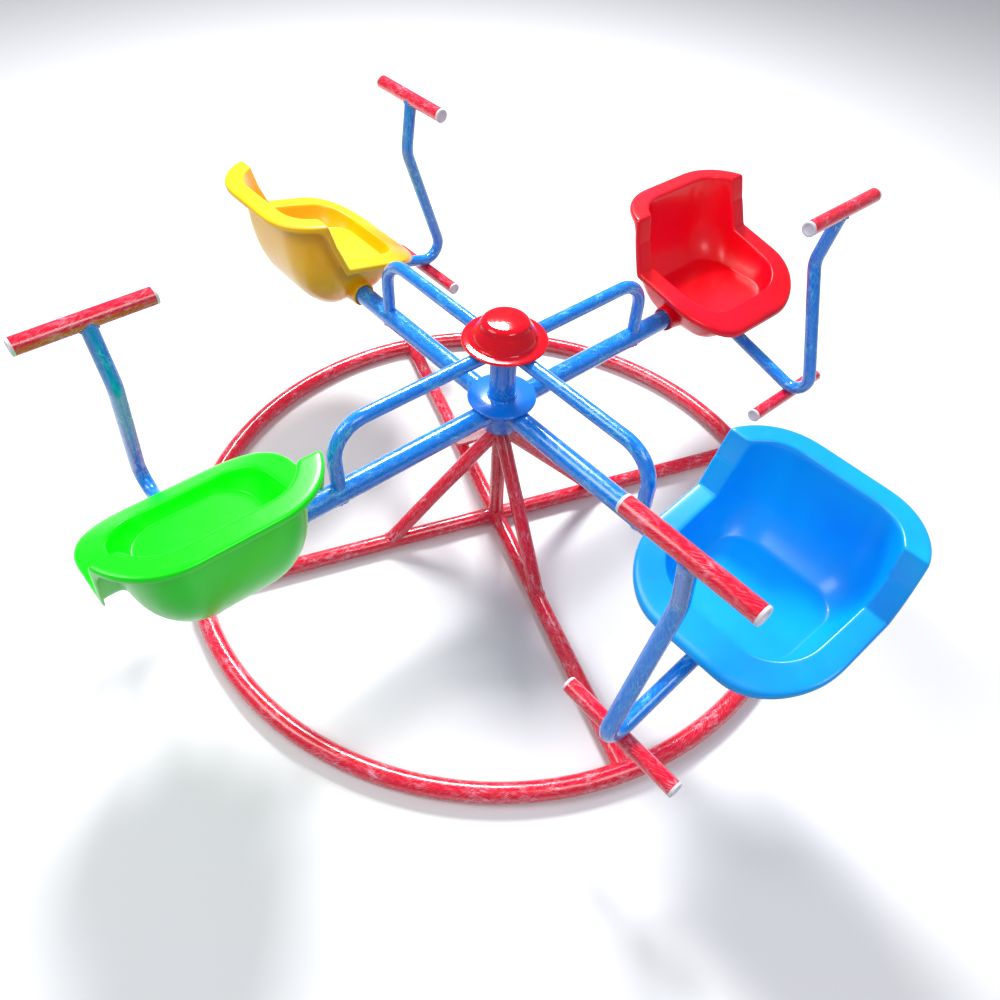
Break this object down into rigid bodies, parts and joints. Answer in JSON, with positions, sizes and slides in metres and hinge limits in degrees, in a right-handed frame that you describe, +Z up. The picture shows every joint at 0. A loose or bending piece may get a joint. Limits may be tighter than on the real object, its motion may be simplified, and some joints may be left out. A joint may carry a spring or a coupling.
{
  "type": "merry go round",
  "caption": "Playground merry go round: moulded bucket seats, handles and footrests on a tube hub that turns on a round tube ground frame.",
  "frame": {"origin": "on the ground, under the middle of the centre post", "axes": "+Z up along the spindle; +X along the east cross tube; the red seat's arm is turned from +X towards +Y by the rest angle"},
  "size_m": [1.5672, 1.5672, 0.6757],
  "materials": {
    "red_paint": "gloss enamel on steel tube, under clear wrapping film",
    "blue_paint": "gloss enamel on steel tube, under clear wrapping film",
    "bearing_steel": "ground bearing steel",
    "zinc_steel": "zinc plated",
    "seal_rubber": "matt black",
    "red_cap_plastic": "glossy moulded plastic",
    "white_cap_plastic": "moulded, slightly cloudy white",
    "red_seat_plastic": "satin gloss rotationally moulded polyethylene",
    "yellow_seat_plastic": "satin gloss rotationally moulded polyethylene",
    "green_seat_plastic": "satin gloss rotationally moulded polyethylene",
    "blue_seat_plastic": "satin gloss rotationally moulded polyethylene"
  },
  "bodies": {
    "base": {"ground_ring": "red_paint", "cross_tube_east": "red_paint", "cross_tube_north": "red_paint", "cross_tube_west": "red_paint", "cross_tube_south": "red_paint", "brace_east": "red_paint", "brace_north": "red_paint", "brace_west": "red_paint", "brace_south": "red_paint", "centre_post": "red_paint", "spindle": "zinc_steel", "bearing_inner_races": "bearing_steel", "bearing_spacer": "zinc_steel", "top_collar": "zinc_steel", "spindle_washer": "zinc_steel", "spindle_nut": "zinc_steel"},
    "rotor": {"bearing_housing": "blue_paint", "bearing_outer_races": "bearing_steel", "bearing_balls": "bearing_steel", "dust_seal": "seal_rubber", "hub_disc": "blue_paint", "mast": "blue_paint", "mast_cap": "red_cap_plastic", "arm_red": "blue_paint", "arm_yellow": "blue_paint", "arm_green": "blue_paint", "arm_blue": "blue_paint", "rail_red": "blue_paint", "rail_yellow": "blue_paint", "rail_green": "blue_paint", "rail_blue": "blue_paint", "seat_bracket_red": "blue_paint", "seat_bracket_yellow": "blue_paint", "seat_bracket_green": "blue_paint", "seat_bracket_blue": "blue_paint", "seat_red": "red_seat_plastic", "seat_yellow": "yellow_seat_plastic", "seat_green": "green_seat_plastic", "seat_blue": "blue_seat_plastic", "handle_post_red": "blue_paint", "handle_post_yellow": "blue_paint", "handle_post_green": "blue_paint", "handle_post_blue": "blue_paint", "handle_bar_red": "red_paint", "handle_bar_yellow": "red_paint", "handle_bar_green": "red_paint", "handle_bar_blue": "red_paint", "footrest_red": "red_paint", "footrest_yellow": "red_paint", "footrest_green": "red_paint", "footrest_blue": "red_paint", "handle_bar_caps": "white_cap_plastic", "footrest_caps": "white_cap_plastic", "seat_bolts": "zinc_steel"}
  },
  "joints": [
    {"name": "rotor_spin", "type": "hinge", "parent": "base", "child": "rotor", "pos_m": [0, 0, 0.3315], "axis": [0, 0, 1], "continuous": true}
  ]
}
